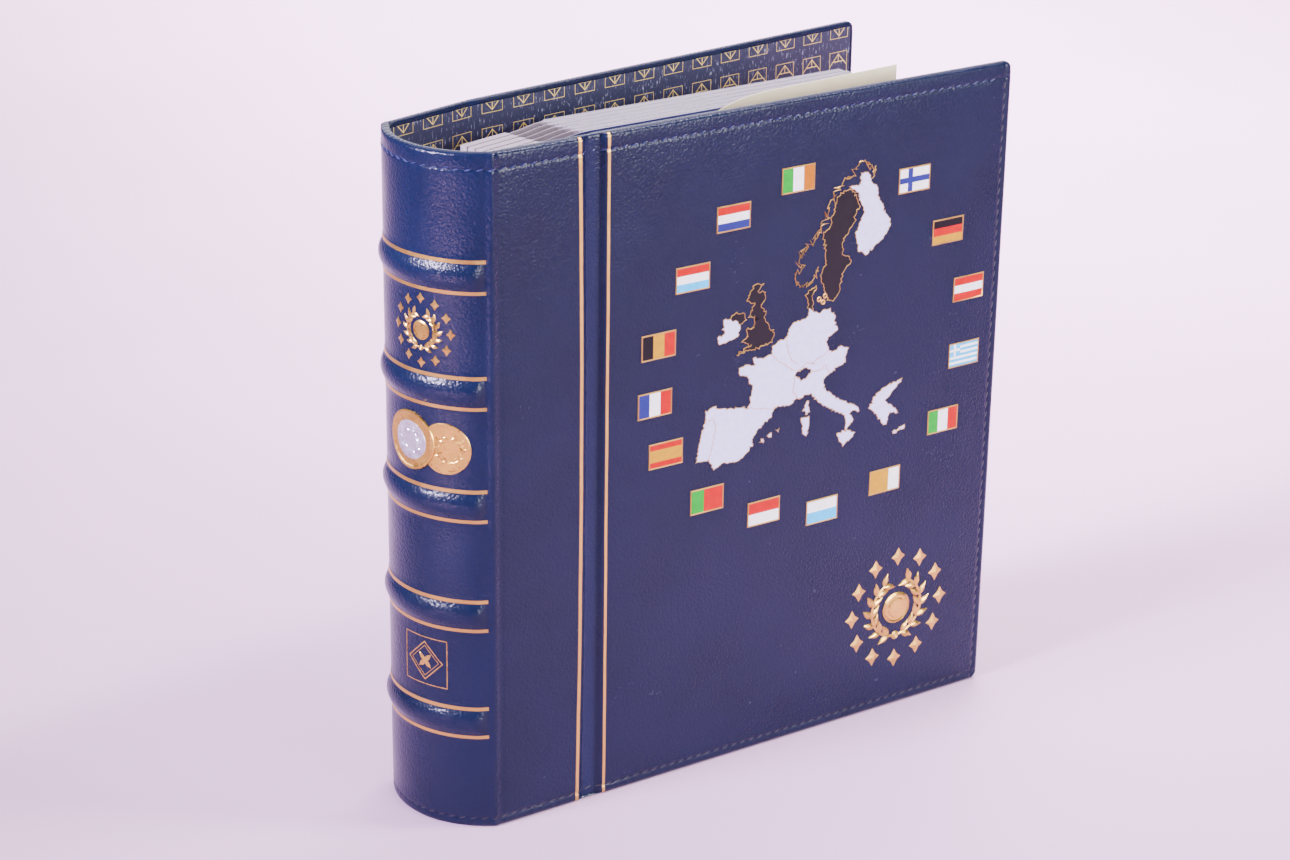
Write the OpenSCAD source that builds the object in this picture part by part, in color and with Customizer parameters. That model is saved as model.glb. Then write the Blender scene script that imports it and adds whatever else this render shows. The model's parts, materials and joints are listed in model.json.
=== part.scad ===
// Ring album for coin leaves, standing upright on its bottom edges, slightly open.
// Five stiff panels in a leatherette skin: front cover, front strip, round spine,
// back strip and back cover. A D-ring mechanism riveted to the back strip holds the leaves.
// X runs along the front cover to its fore-edge, Y from the front cover to the back one, Z up.

/* [Covers] */
// Height of every panel
height = 280; // [240:1:320]
// Front cover's width, from the spine crease to the fore-edge
cover_w = 249; // [235:1:270]
// Width of the stiff strip between the spine crease and the groove
strip_w = 38; // [36:0.5:42]
// Width of the pressed groove that each cover folds at
groove_w = 13.5; // [12:0.5:16]
// Thickness of a finished panel
shell_t = 3.6; // [3.4:0.1:4.5]
// Radius of the covers' fore-edge corners
corner_r = 3.5; // [2:0.5:8]
// Angle between the front cover and the back strip
wedge = 13.5; // [12.5:0.5:14.5]
// Angle that the back cover folds in from its strip
back_fold = 7.4; // [6.5:0.1:8]

/* [Skin and lining] */
// Thickness of the leatherette skin
skin_t = 0.7; // [0.5:0.1:1]
// Thickness of the lining
lining_t = 0.3; // [0.2:0.05:0.4]
// Width of the turned-in skin that shows round the lining
turn_in = 2; // [1.5:0.5:4]
// Thickness of the padding under the covers' skin
pad_t = 0.8; // [0.5:0.1:1]

/* [Spine] */
// Straight distance between the two spine creases
spine_w = 59.1; // [58:0.1:62]
// How far the spine bulges out
spine_bulge = 14; // [13:0.5:16]
// Number of raised bands
bands = 5; // [3:1:5]
// Height of the lowest band's centre
first_band_z = 46.6; // [40:0.1:50]
// Distance between bands
band_pitch = 46.3; // [40:0.1:48]
// Width of a raised band
band_w = 10; // [8:0.5:11]
// How far a band stands proud of the spine
band_t = 2.3; // [1.5:0.1:3]

/* [Rings] */
// Number of rings
rings = 4; // [2:1:4]
// Distance between rings
ring_pitch = 72; // [60:1:73]
// Radius of the ring wire
wire_r = 1.6; // [1.4:0.1:1.8]
// Height of a ring above the lining
ring_h = 49; // [48:0.5:50]
// Width of the arched housing
housing_w = 28; // [28:0.5:29]
// Height of the arched housing
housing_h = 7; // [7:0.1:7.3]

/* [Leaves] */
// Number of coin leaves
leaves = 7; // [4:1:7]
// Height of a leaf
leaf_h = 258; // [240:1:262]
// Width of a leaf's coin frame
leaf_w = 146; // [140:1:160]
// Distance between leaves
leaf_pitch = 4.2; // [4.2:0.05:4.3]
// Thickness of a coin frame without its films
frame_t = 3; // [2.6:0.1:3]
// Thickness of a clear film
film_t = 0.35; // [0.2:0.05:0.4]
// Diameter of a coin window
window_d = 26; // [18:1:27]
// Columns of coin windows
window_cols = 4; // [2:1:4]
// Rows of coin windows
window_rows = 7; // [3:1:7]

/* [Hidden] */
$fn = 96;
function numbered(before, after) = [for (i = [1:leaves]) str(before, i, after)];

navy = [0.13, 0.15, 0.38];
dark_navy = [0.09, 0.09, 0.2];
board_grey = [0.55, 0.52, 0.47];
foam = [0.85, 0.84, 0.8];
steel = [0.75, 0.76, 0.78];
leaf_white = [0.9, 0.9, 0.92];
film_clear = [0.85, 0.9, 0.95, 0.4];
cream = [0.95, 0.92, 0.8];

// Small clearances
gap = 0.15;        // each side of a spine crease
slip = 0.02;       // between curved layers of one panel
bead_gap = 0.1;    // round the bead that a groove folds on
crease_room = 4;   // from a spine crease to the boards beside it

// Spine arc: both creases lie on a circle that bulges away from the leaves
spine_r = (pow(spine_w / 2, 2) + pow(spine_bulge, 2)) / (2 * spine_bulge);
half_arc = asin(spine_w / 2 / spine_r);
along = [cos(wedge), sin(wedge)];          // along the back strip, away from its crease
inward = [sin(wedge), -cos(wedge)];        // from the back strip towards the leaves
back_crease = -spine_w * inward;
spine_c = back_crease / 2 + (spine_r - spine_bulge) * along;
front_mitre = (90 + wedge + half_arc) / 2; // half the inner angle at the front crease
back_mitre = (90 + half_arc) / 2;

// The groove's floor and the bead it folds on, as depths below the outer face
floor_t = 0.6;
bead_r = 0.6;
fold_s = strip_w + groove_w / 2;
fold_d = 2.9;

// The frame's origin is under the middle of the album's box
function back_point(s, d) = back_crease + s * along + d * inward;
function turned(p, a) = [p[0] * cos(a) - p[1] * sin(a), p[0] * sin(a) + p[1] * cos(a)];
back_corner_local = [fold_s, fold_d] + turned([cover_w - fold_s, -fold_d], back_fold);
back_corner = back_point(back_corner_local[0], back_corner_local[1]);
x_low = spine_c[0] - spine_r - band_t;
origin = [(x_low + cover_w) / 2, back_corner[1] / 2];

// Ring mechanism, in the back strip's frame: s from the crease, h above the lining
housing_s = 21;
housing_t = 0.8;
housing_r = (pow(housing_w / 2, 2) + pow(housing_h, 2)) / (2 * housing_h);
housing_len = 236;
blade_t = 0.8;
blade_h = 0.9;
blade_len = 231;
straight_s = 32;
curved_s = 10;
straight_bend = 8;
curved_bend = straight_s - straight_bend - curved_s;
ring_z0 = height / 2 - (rings - 1) * ring_pitch / 2;
rivet_zs = [height / 2 - 80, height / 2 + 80];
pin_z = housing_len / 2 + 1.2;             // from mid-height
pin_h = 2.6;
pin_r = 0.9;
trigger_w = 14.4;

// Leaves, counted from the front cover
bind_s = 25;
bind_w = 24;
bind_t = 3.4;
bind_h0 = 13.3;
web_t = 0.6;
web_gap = 0.45;                            // each side of the line that a web folds on
lip = 0.9;                                 // from the strip's thick part to that line
web_dx = 18.9;
web_dy = 7.05;
tongue = 2;
leaf_z = (height - leaf_h) / 2;
slot_s0 = 30;
slot_len = 11.4;
slot_w = 5.2;

// ---- Frames of the panels ----
module at_origin() translate([-origin[0], -origin[1], 0]) children();

module back_frame()
    translate([back_crease[0], back_crease[1], 0]) rotate(wedge) mirror([0, 1, 0]) children();

module back_cover_frame()
    back_frame() translate([fold_s, fold_d, 0]) rotate(back_fold) translate([-fold_s, -fold_d, 0])
        children();

// ---- Shared shapes ----
// A slab in X and Z between two depths in Y
module slab(d0, d1) translate([0, d1, 0]) rotate([90, 0, 0]) linear_extrude(d1 - d0) children();

// A rectangle in X and Z whose corners on the fore-edge are round
module plate(x0, x1, z0, z1, r) {
    translate([x0, z0]) square([x1 - r - x0, z1 - z0]);
    translate([x1 - r - 0.01, z0 + r]) square([r + 0.01, z1 - z0 - 2 * r]);
    for (z = [z0 + r, z1 - r]) translate([x1 - r, z]) circle(r);
}

// The plan of a strip between two depths: its crease end is mitred
function strip_plan(mitre, s0, s1, d0, d1) =
    let (g = s0 + gap / sin(mitre))
    [[g + d0 / tan(mitre), d0], [s1, d0], [s1, d1], [g + d1 / tan(mitre), d1]];

module upright(z0, z1) translate([0, 0, z0]) linear_extrude(z1 - z0) children();

// ---- Strips ----
module strip_leather(mitre) {
    difference() {
        upright(0, height) polygon(strip_plan(mitre, 0, strip_w, 0, shell_t));
        upright(skin_t, height - skin_t)
            polygon(strip_plan(mitre, crease_room, strip_w - skin_t, skin_t, shell_t - lining_t));
        upright(turn_in, height - turn_in)
            polygon(strip_plan(mitre, -5, strip_w - turn_in, shell_t - lining_t, shell_t + 1));
    }
    // Half of the groove's floor, with the bead that the cover folds on
    translate([strip_w - 0.1, fold_d - floor_t / 2, 0])
        cube([fold_s - strip_w + 0.1, floor_t, height]);
    translate([fold_s, fold_d, 0]) cylinder(h = height, r = bead_r);
}

module strip_board(mitre)
    upright(skin_t, height - skin_t)
        polygon(strip_plan(mitre, crease_room, strip_w - skin_t, skin_t, shell_t - lining_t));

module strip_lining(mitre)
    upright(turn_in, height - turn_in)
        polygon(strip_plan(mitre, 0, strip_w - turn_in, shell_t - lining_t, shell_t));

// ---- Covers ----
cover_s = strip_w + groove_w;

module cover_plate(inset, d0, d1)
    slab(d0, d1)
        plate(cover_s + inset, cover_w - inset, inset, height - inset, max(corner_r - inset, 0.5));

module cover_leather() {
    difference() {
        cover_plate(0, 0, shell_t);
        cover_plate(skin_t, skin_t, shell_t - lining_t);
        cover_plate(turn_in, shell_t - lining_t - 0.01, shell_t + 1);
    }
    // The other half of the groove's floor, hollowed round the bead
    difference() {
        translate([fold_s, fold_d - floor_t / 2, 0])
            cube([cover_s - fold_s + 0.1, floor_t, height]);
        translate([fold_s, fold_d, -1]) cylinder(h = height + 2, r = bead_r + bead_gap);
    }
}

module cover_padding() cover_plate(skin_t, skin_t, skin_t + pad_t);
module cover_board() cover_plate(skin_t, skin_t + pad_t, shell_t - lining_t - 0.01);
module cover_lining() cover_plate(turn_in, shell_t - lining_t, shell_t);

// ---- Spine ----
module arc_sweep(half)
    translate([spine_c[0], spine_c[1], 0]) rotate(180 + wedge - half)
        rotate_extrude(angle = 2 * half) children();

module ring_section(r0, r1, z0, z1) translate([r0, z0]) square([r1 - r0, z1 - z0]);

// Keeps what lies between the two mitres, a distance back from each
module between_mitres(back) {
    difference() {
        children();
        rotate(front_mitre) translate([-3, back - 20, -1]) cube([20, 20, height + 2]);
        translate([back_crease[0], back_crease[1], 0]) rotate(wedge - back_mitre)
            translate([-3, -back, -1]) cube([20, 20, height + 2]);
    }
}

inner_r = spine_r - shell_t;

module spine_leather()
    color(navy) at_origin() between_mitres(gap) arc_sweep(half_arc) difference() {
        ring_section(inner_r, spine_r, 0, height);
        ring_section(inner_r + lining_t, spine_r - skin_t, skin_t, height - skin_t);
        ring_section(inner_r - 1, inner_r + lining_t, turn_in, height - turn_in);
    }

module spine_board()
    color(board_grey) at_origin() between_mitres(crease_room) arc_sweep(half_arc)
        ring_section(inner_r + lining_t + slip, spine_r - skin_t - slip, skin_t, height - skin_t);

module spine_lining()
    color(dark_navy) at_origin() between_mitres(gap) arc_sweep(half_arc)
        ring_section(inner_r, inner_r + lining_t - slip, turn_in, height - turn_in);

// Five bars with a round outer face, ending short of the creases
module raised_bands()
    color(navy) at_origin() for (k = [0:bands - 1])
        arc_sweep(half_arc - 7) translate([spine_r + slip, first_band_z + k * band_pitch])
            intersection() {
                translate([0, -band_w / 2]) square([band_t, band_w]);
                let (r = (pow(band_w / 2, 2) + band_t * band_t) / (2 * band_t))
                    translate([band_t - r, 0]) circle(r);
            }

// ---- Panels ----
module front_cover_leather() color(navy) at_origin() cover_leather();
module front_cover_padding() color(foam) at_origin() cover_padding();
module front_cover_board() color(board_grey) at_origin() cover_board();
module front_cover_lining() color(dark_navy) at_origin() cover_lining();
module front_strip_leather() color(navy) at_origin() strip_leather(front_mitre);
module front_strip_board() color(board_grey) at_origin() strip_board(front_mitre);
module front_strip_lining() color(dark_navy) at_origin() strip_lining(front_mitre);

module back_cover_leather() color(navy) at_origin() back_cover_frame() cover_leather();
module back_cover_padding() color(foam) at_origin() back_cover_frame() cover_padding();
module back_cover_board() color(board_grey) at_origin() back_cover_frame() cover_board();
module back_cover_lining() color(dark_navy) at_origin() back_cover_frame() cover_lining();

module rivet_holes(d0, d1) for (z = rivet_zs)
    translate([housing_s, d1, z]) rotate([90, 0, 0]) cylinder(h = d1 - d0, r = 1.55);

module back_strip_leather() color(navy) at_origin() back_frame() strip_leather(back_mitre);
module back_strip_board() color(board_grey) at_origin() back_frame() difference() {
    strip_board(back_mitre);
    rivet_holes(skin_t - 1, shell_t);
}
module back_strip_lining() color(dark_navy) at_origin() back_frame() difference() {
    strip_lining(back_mitre);
    rivet_holes(skin_t, shell_t + 1);
}

// ---- Ring mechanism ----
// The mechanism's frame: X is s, Y is h above the lining, Z up
module mechanism() at_origin() back_frame() translate([0, shell_t, 0]) children();

module at_rings() for (k = [0:rings - 1]) translate([0, 0, ring_z0 + k * ring_pitch]) children();

module arch(r0, r1) translate([housing_s, housing_h - housing_r]) difference() {
    circle(r1);
    circle(r0);
}

module ring_housing() color(steel) mechanism() difference() {
    union() {
        // Arched plate
        upright((height - housing_len) / 2, (height + housing_len) / 2) intersection() {
            arch(housing_r - housing_t, housing_r);
            translate([housing_s - housing_w / 2 - 1, 0]) square([housing_w + 2, housing_h + 1]);
        }
        // Two lugs at each end carry the trigger's pin
        for (side = [-1, 1], end = [-1, 1])
            translate([housing_s + side * 8.2 - 0.4, 0.2, height / 2 + end * (pin_z - 0.6) - 2.2])
                cube([0.8, 4, 4.4]);
    }
    for (end = [-1, 1]) translate([housing_s - 10, pin_h, height / 2 + end * pin_z])
        rotate([0, 90, 0]) cylinder(h = 20, r = pin_r + 0.03);
    for (z = rivet_zs) translate([housing_s, 0, z]) rotate([-90, 0, 0]) cylinder(h = 9, r = 1.6);
    // Notches that the rings come out through
    at_rings() for (s = [straight_s - 2.6, curved_s - 5])
        translate([s, -1, -2.4]) cube([7.6, 9, 4.8]);
}

module housing_rivets() color(steel) mechanism() for (z = rivet_zs)
    translate([housing_s, 0, z]) rotate([-90, 0, 0]) {
        translate([0, 0, skin_t - shell_t]) cylinder(h = shell_t - skin_t + housing_h, r = 1.5);
        translate([0, 0, housing_h]) intersection() {
            cylinder(h = 1.6, r = 3.4);
            translate([0, 0, 1.6 - 4.6]) sphere(4.6);
        }
    }

module trigger_pins() color(steel) mechanism() for (end = [-1, 1])
    translate([housing_s - 9, pin_h, height / 2 + end * pin_z])
        rotate([0, 90, 0]) cylinder(h = 18, r = pin_r);

// A bent lever that turns on its pin: hub, arm and a round lip
module trigger(end) color(steel) mechanism()
    translate([housing_s - trigger_w / 2, pin_h, height / 2 + end * pin_z])
        scale([1, 1, end]) rotate([0, 90, 0]) linear_extrude(trigger_w) difference() {
            // In this section X is downward along the housing and Y is away from the strip
            union() {
                circle(1.8);
                rotate(22) translate([-0.7, 0]) square([1.4, 9]);
                rotate(22) translate([0, 9]) circle(0.9);
                rotate(60) translate([-0.7, 0]) square([1.4, 3]);
            }
            circle(pin_r + 0.06);
        }

module top_trigger() trigger(1);
module bottom_trigger() trigger(-1);

module blade(s0, s1) color(steel) mechanism() difference() {
    translate([s0, blade_h, (height - blade_len) / 2]) cube([s1 - s0, blade_t, blade_len]);
    for (z = rivet_zs) translate([housing_s, -1, z]) rotate([-90, 0, 0]) cylinder(h = 9, r = 3);
}

module straight_side_blade() blade(housing_s + gap, straight_s);
module curved_side_blade() blade(curved_s, housing_s - gap);

module straight_half_rings() color(steel) mechanism() at_rings() {
    translate([straight_s, blade_h + blade_t, 0]) rotate([-90, 0, 0])
        cylinder(h = ring_h - straight_bend - blade_h - blade_t, r = wire_r);
    translate([straight_s - straight_bend, ring_h - straight_bend, 0])
        rotate_extrude(angle = 90) translate([straight_bend, 0]) circle(wire_r);
}

module curved_half_rings() color(steel) mechanism() at_rings() {
    translate([curved_s, blade_h + blade_t, 0]) rotate([-90, 0, 0])
        cylinder(h = ring_h - curved_bend - blade_h - blade_t, r = wire_r);
    translate([curved_s + curved_bend, ring_h - curved_bend, 0]) mirror([1, 0, 0])
        rotate_extrude(angle = 89) translate([curved_bend, 0]) circle(wire_r);
}

// ---- Leaves ----
function bind_h(i) = bind_h0 + (leaves - i) * leaf_pitch;
function web_start(i) = back_point(bind_s + bind_w + lip, shell_t + bind_h(i) + bind_t / 2);
function web_end(i) = web_start(leaves) + [web_dx, web_dy]
    + (leaves - i) * leaf_pitch * [tan(wedge), -1];

// A punched binding strip
module leaf_binding(i) color(leaf_white) at_origin() back_frame()
    translate([0, shell_t + bind_h(i), 0]) difference() {
        union() {
            translate([bind_s, 0, leaf_z]) cube([bind_w, bind_t, leaf_h]);
            translate([bind_s + bind_w - 0.1, (bind_t - web_t) / 2, leaf_z])
                cube([lip - web_gap + 0.1, web_t, leaf_h]);
        }
        at_rings() for (s = [slot_s0 + slot_w / 2, slot_s0 + slot_len - slot_w / 2])
            translate([s, -1, 0]) rotate([-90, 0, 0]) cylinder(h = bind_t + 2, r = slot_w / 2);
        at_rings() translate([slot_s0 + slot_w / 2, -1, -slot_w / 2])
            cube([slot_len - slot_w, bind_t + 2, slot_w]);
    }

// A strip of constant thickness between two points of the plan
module ribbon(p, q, t) {
    side = t / 2 * [p[1] - q[1], q[0] - p[0]] / norm(q - p);
    polygon([p - side, q - side, q + side, p + side]);
}

// The coin frame with its flexible web: thin web, then a thick plate with round windows
module leaf_frame(i) color(leaf_white) at_origin() {
    start = web_start(i);
    end = web_end(i);
    run = (end - start) / norm(end - start);
    upright(leaf_z, leaf_z + leaf_h) {
        ribbon(start + web_gap * run, end, web_t);
        translate([end[0], end[1] - web_t / 2]) square([tongue + 0.1, web_t]);
    }
    translate([end[0] + tongue, 0, leaf_z]) difference() {
        slab(end[1] - frame_t / 2, end[1] + frame_t / 2) square([leaf_w, leaf_h]);
        for (c = [0:window_cols - 1], r = [0:window_rows - 1])
            translate([leaf_w * (c + 0.5) / window_cols, end[1] + frame_t, leaf_h * (r + 0.5) / window_rows])
                rotate([90, 0, 0]) cylinder(h = 2 * frame_t, r = window_d / 2);
    }
}

// A clear film on one face of a coin frame: side is -1 for the front and 1 for the back
module leaf_film(i, side) color(film_clear) at_origin() {
    end = web_end(i);
    face = end[1] + side * frame_t / 2;
    translate([end[0] + tongue, 0, leaf_z])
        slab(min(face, face + side * film_t), max(face, face + side * film_t)) square([leaf_w, leaf_h]);
}

// A loose sheet of heavy paper in front of the first leaf
module index_sheet() color(cream) at_origin()
    translate([web_end(1)[0] + 3, 0, 14]) slab(web_end(1)[1] - 5.6, web_end(1)[1] - 5)
        square([leaf_w - 6, 262]);

front_cover_leather();
front_cover_padding();
front_cover_board();
front_cover_lining();
front_strip_leather();
front_strip_board();
front_strip_lining();
spine_leather();
spine_board();
spine_lining();
raised_bands();
back_strip_leather();
back_strip_board();
back_strip_lining();
back_cover_leather();
back_cover_padding();
back_cover_board();
back_cover_lining();
ring_housing();
housing_rivets();
trigger_pins();
top_trigger();
bottom_trigger();
straight_half_rings();
straight_side_blade();
curved_half_rings();
curved_side_blade();
for (i = [1:leaves]) {
    leaf_binding(i);
    leaf_frame(i);
    leaf_film(i, -1);
    leaf_film(i, 1);
}
index_sheet();
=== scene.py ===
"""Looks of a coin album: navy leatherette covers with gold foil and enamel, lining, leaves and rings.

Lengths are in millimetres in the album's own plan until to_row() turns them into the frame's metres:
the plan's origin is the front spine crease, X runs along the front cover, Y towards the back cover.
"""
import json
import math

import bmesh
import bpy
import numpy as np
from mathutils import Matrix, Vector, noise


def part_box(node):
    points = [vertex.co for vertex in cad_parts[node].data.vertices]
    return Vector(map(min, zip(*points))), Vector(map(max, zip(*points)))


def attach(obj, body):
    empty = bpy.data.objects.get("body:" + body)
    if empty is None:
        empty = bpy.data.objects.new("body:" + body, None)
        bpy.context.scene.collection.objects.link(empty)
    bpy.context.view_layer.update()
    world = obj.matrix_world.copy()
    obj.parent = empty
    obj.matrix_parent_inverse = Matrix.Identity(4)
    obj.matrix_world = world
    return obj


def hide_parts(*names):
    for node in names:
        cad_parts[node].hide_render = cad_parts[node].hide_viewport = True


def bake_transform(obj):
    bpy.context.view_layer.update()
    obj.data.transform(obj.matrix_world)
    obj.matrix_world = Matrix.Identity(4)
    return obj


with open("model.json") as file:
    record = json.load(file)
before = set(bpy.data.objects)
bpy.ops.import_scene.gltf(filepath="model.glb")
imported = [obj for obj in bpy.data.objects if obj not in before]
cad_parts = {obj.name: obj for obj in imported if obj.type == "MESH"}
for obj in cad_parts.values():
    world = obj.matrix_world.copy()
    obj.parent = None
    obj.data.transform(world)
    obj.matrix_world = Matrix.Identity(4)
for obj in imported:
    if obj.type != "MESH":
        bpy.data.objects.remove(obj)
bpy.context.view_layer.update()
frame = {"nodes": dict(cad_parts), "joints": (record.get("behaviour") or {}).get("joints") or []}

# ---------------------------------------------------------------- driving sizes
JOINTS = {j["name"]: j for j in frame["joints"]}


def joint_at(name):
    """A joint's place in the plan, in millimetres in the row frame."""
    return np.array(JOINTS[name]["pos_m"][:2]) * 1000


CREASE_ROW = joint_at("spine_crease_front")
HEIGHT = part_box("front_cover_leather")[1].z * 1000
COVER_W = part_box("front_cover_leather")[1].x * 1000 - CREASE_ROW[0]
SHELL = (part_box("front_cover_leather")[1].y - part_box("front_cover_leather")[0].y) * 1000
BACK_CREASE = joint_at("spine_crease_back") - CREASE_ROW
FOLD_S, FOLD_D = joint_at("front_cover_hinge") - CREASE_ROW
SPINE_W = float(np.hypot(*BACK_CREASE))
INWARD = -BACK_CREASE / SPINE_W
ALONG = np.array([-INWARD[1], INWARD[0]])
WEDGE = math.atan2(ALONG[1], ALONG[0])
BACK_FOLD = math.radians(7.4)   # angle between the back cover and its strip
GROOVE_W = 13.5         # groove between a strip and its cover
STRIP_W = FOLD_S - GROOVE_W / 2
COVER_S = FOLD_S + GROOVE_W / 2
SPINE_BULGE = 14.0      # how far the round spine stands out past its creases
SPINE_R = ((SPINE_W / 2) ** 2 + SPINE_BULGE**2) / (2 * SPINE_BULGE)
HALF_ARC = math.asin(SPINE_W / 2 / SPINE_R)
SPINE_C = BACK_CREASE / 2 + (SPINE_R - SPINE_BULGE) * ALONG
SPINE_LEN = 2 * HALF_ARC * SPINE_R
CORNER_R = 3.5          # round corners at the fore-edge
CREASE_SOFT = 3.0       # half the width over which a crease turns
BEND_ROOM = 4.0         # half the width of the fold marks kept at a crease
OUTER_R = 1.7           # rounding of a panel's outer edge
INNER_R = 0.9           # and of its inner edge
STITCH_TOP = 6.5        # from each edge to its row of stitches
STITCH_BOTTOM = 4.0
STITCH_FORE = 3.6
STITCH_PITCH = 4.5
BAND_ZS = [46.6 + 46.3 * k for k in range(5)]   # middles of the spine's raised bands
BAND_RISE = 2.0
BAND_HALF = 6.2         # from a band's middle to its gold lines


def to_row(points):
    """Plan millimetres to the row frame's metres."""
    p = np.array(points, float).reshape(-1, 3)
    p[:, 0] += CREASE_ROW[0]
    p[:, 1] += CREASE_ROW[1]
    return p / 1000


def smooth(t):
    t = np.clip(t, 0.0, 1.0)
    return t * t * (3 - 2 * t)


def unit(v):
    return v / np.maximum(np.linalg.norm(v, axis=1, keepdims=True), 1e-9)


def left_of(v):
    return np.stack([-v[:, 1], v[:, 0]], -1)


def around(centre, radius, angle):
    """A point on a circle."""
    return (centre[0] + radius * math.cos(angle), centre[1] + radius * math.sin(angle))


def dip(distance, half):
    """A bell curve: 1 at a distance of 0."""
    return np.exp(-((distance / half) ** 2))


# ---------------------------------------------------------------- where each panel's skin lies
# A place function turns (s, d) into the plan: s runs along the skin and d is the depth below it.
def front_place(s, d):
    return np.stack([s + 0 * d, d + 0 * s], -1)


def back_place(s, d):
    turn = BACK_FOLD * smooth((s - STRIP_W) / GROOVE_W)
    a, b = s - FOLD_S, d - FOLD_D
    x = FOLD_S + a * np.cos(turn) - b * np.sin(turn)
    y = FOLD_D + a * np.sin(turn) + b * np.cos(turn)
    return BACK_CREASE + x[..., None] * ALONG + y[..., None] * INWARD


def spine_place(w, d):
    """w runs along the spine's arc from the front crease to the back one."""
    angle = math.pi + WEDGE + HALF_ARC - w / SPINE_R
    r = SPINE_R - d
    return SPINE_C + np.stack([r * np.cos(angle), r * np.sin(angle)], -1)


def across_crease(c, on_spine, on_strip):
    """c is above 0 on the strip and below 0 on the spine."""
    mix = smooth((c + CREASE_SOFT) / (2 * CREASE_SOFT))[..., None]
    return (1 - mix) * on_spine + mix * on_strip


def front_crease_place(c, d):
    return across_crease(c, spine_place(-c, d), front_place(c, d))


def back_crease_place(c, d):
    return across_crease(c, spine_place(SPINE_LEN + c, d), back_place(c, d))


# ---------------------------------------------------------------- how far the skin stands out
# q runs once round the whole skin: below 0 on the front, then over the spine and on along the back.
def unevenness(q, z):
    """Slow waves a tenth of a millimetre high, as padded leatherette has."""
    return (
        0.07 * np.sin(q / 17.0 + 1) * np.sin(z / 23.0 + 2)
        + 0.05 * np.sin(q / 6.1 + z / 9.7 + 1)
        + 0.03 * np.sin(z / 4.3 - q / 7.9 + 3)
    )


def channel(distance, depth=0.3, half=0.7):
    """Depth of the channel that stitching pulls into the skin."""
    return depth * dip(distance, half)


def strip_rise(s, edge):
    return 0.2 * smooth(edge / 14) * np.sin(np.clip(s / STRIP_W, 0, 1) * math.pi)


def seams(z):
    return np.maximum(channel(HEIGHT - z - STITCH_TOP), channel(z - STITCH_BOTTOM))


def strip_bow(z):
    """The strip's edge along the groove is fuller halfway up."""
    return 0.5 + 1.3 * np.sin(math.pi * z / HEIGHT)


def cover_rise(s, z, q):
    """Outward rise of a strip and its cover: groove, padding, stitched channel and waves."""
    fore = COVER_W - s
    wall_in, wall_out = smooth((s - STRIP_W - strip_bow(z) - 0.5) / 3.2), smooth((COVER_S - 0.5 - s) / 3.2)
    groove = wall_in * wall_out
    hollow = groove * (1.3 + 0.6 * np.clip(1 - ((s - FOLD_S) / (GROOVE_W / 2)) ** 2, 0, 1))
    inside = np.minimum(np.minimum(HEIGHT - z, z), fore)
    pad = 0.45 * smooth((inside - 2) / 16) * smooth((s - COVER_S) / 14)
    stitched = np.maximum(seams(z), channel(fore - STITCH_FORE))
    waves = unevenness(q, z) * smooth(inside / 6)
    return pad + strip_rise(s, inside) - hollow - stitched * (1 - groove) + waves


def band_height(z):
    rise = 0 * z
    for middle in BAND_ZS:
        t = np.clip(np.abs(z - middle) / (BAND_HALF - 0.8), 0, 1)
        shoulder = 0.4 * smooth((BAND_HALF + 1.9 - np.abs(z - middle)) / 1.7)
        rise = np.maximum(rise, shoulder + (BAND_RISE - 0.4) * (1 - t**2.2) ** 1.3)
    return rise


def crease_rise(c, z, q):
    """Outward rise near a crease: a flat strip above c = 0 and the banded spine below it."""
    edge = np.minimum(HEIGHT - z, z)
    ridge = 0.28 * dip(c, 1.1) - 0.22 * dip(np.abs(c) - 3.0, 1.5)
    pressed = 0 * z
    for middle in BAND_ZS:
        for line in (middle - BAND_HALF, middle + BAND_HALF):
            pressed = np.maximum(pressed, 0.2 * dip(z - line, 0.9))
    bands = band_height(z) * smooth((-c - 2.2) / 5.5) - pressed * smooth((-c - 1) / 2)
    waves = unevenness(q, z) * smooth(edge / 6) * smooth(np.abs(c) / 5)
    return bands + ridge + strip_rise(c, edge) - seams(z) + waves


def edge_drop(distance, radius):
    """How far a face has fallen away at a distance from a rounded edge."""
    reach = np.clip(radius - distance, 0, radius)
    return radius - np.sqrt(np.maximum(radius**2 - reach**2, 0))


# ---------------------------------------------------------------- mesh helpers
def placed(name, data):
    """A new object of some data, put into the scene."""
    obj = bpy.data.objects.new(name, data)
    bpy.context.scene.collection.objects.link(obj)
    return obj


def new_object(name, verts, faces, materials, uvs, face_materials=None, smooth_angle=45):
    mesh = bpy.data.meshes.new(name)
    mesh.from_pydata([tuple(v) for v in verts], [], [tuple(int(i) for i in f) for f in faces])
    layer = mesh.uv_layers.new(name="Pattern")
    corner = np.zeros(len(mesh.loops), int)
    mesh.loops.foreach_get("vertex_index", corner)
    layer.data.foreach_set("uv", np.array(uvs, float)[corner].ravel())
    for m in materials:
        mesh.materials.append(m)
    if face_materials is not None:
        mesh.polygons.foreach_set("material_index", np.array(face_materials, int))
    work = bmesh.new()
    work.from_mesh(mesh)
    bmesh.ops.recalc_face_normals(work, faces=work.faces)
    work.to_mesh(mesh)
    work.free()
    mesh.polygons.foreach_set("use_smooth", [True] * len(mesh.polygons))
    mesh.set_sharp_from_angle(angle=math.radians(smooth_angle))
    mesh.update()
    return placed(name, mesh)


def grid_faces(n, m, start=0, flip=False):
    i, j = np.meshgrid(np.arange(n - 1), np.arange(m - 1), indexing="ij")
    a = (start + i * m + j).ravel()
    quad = np.stack([a, a + m, a + m + 1, a + 1], -1)
    return quad[:, ::-1] if flip else quad


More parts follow.
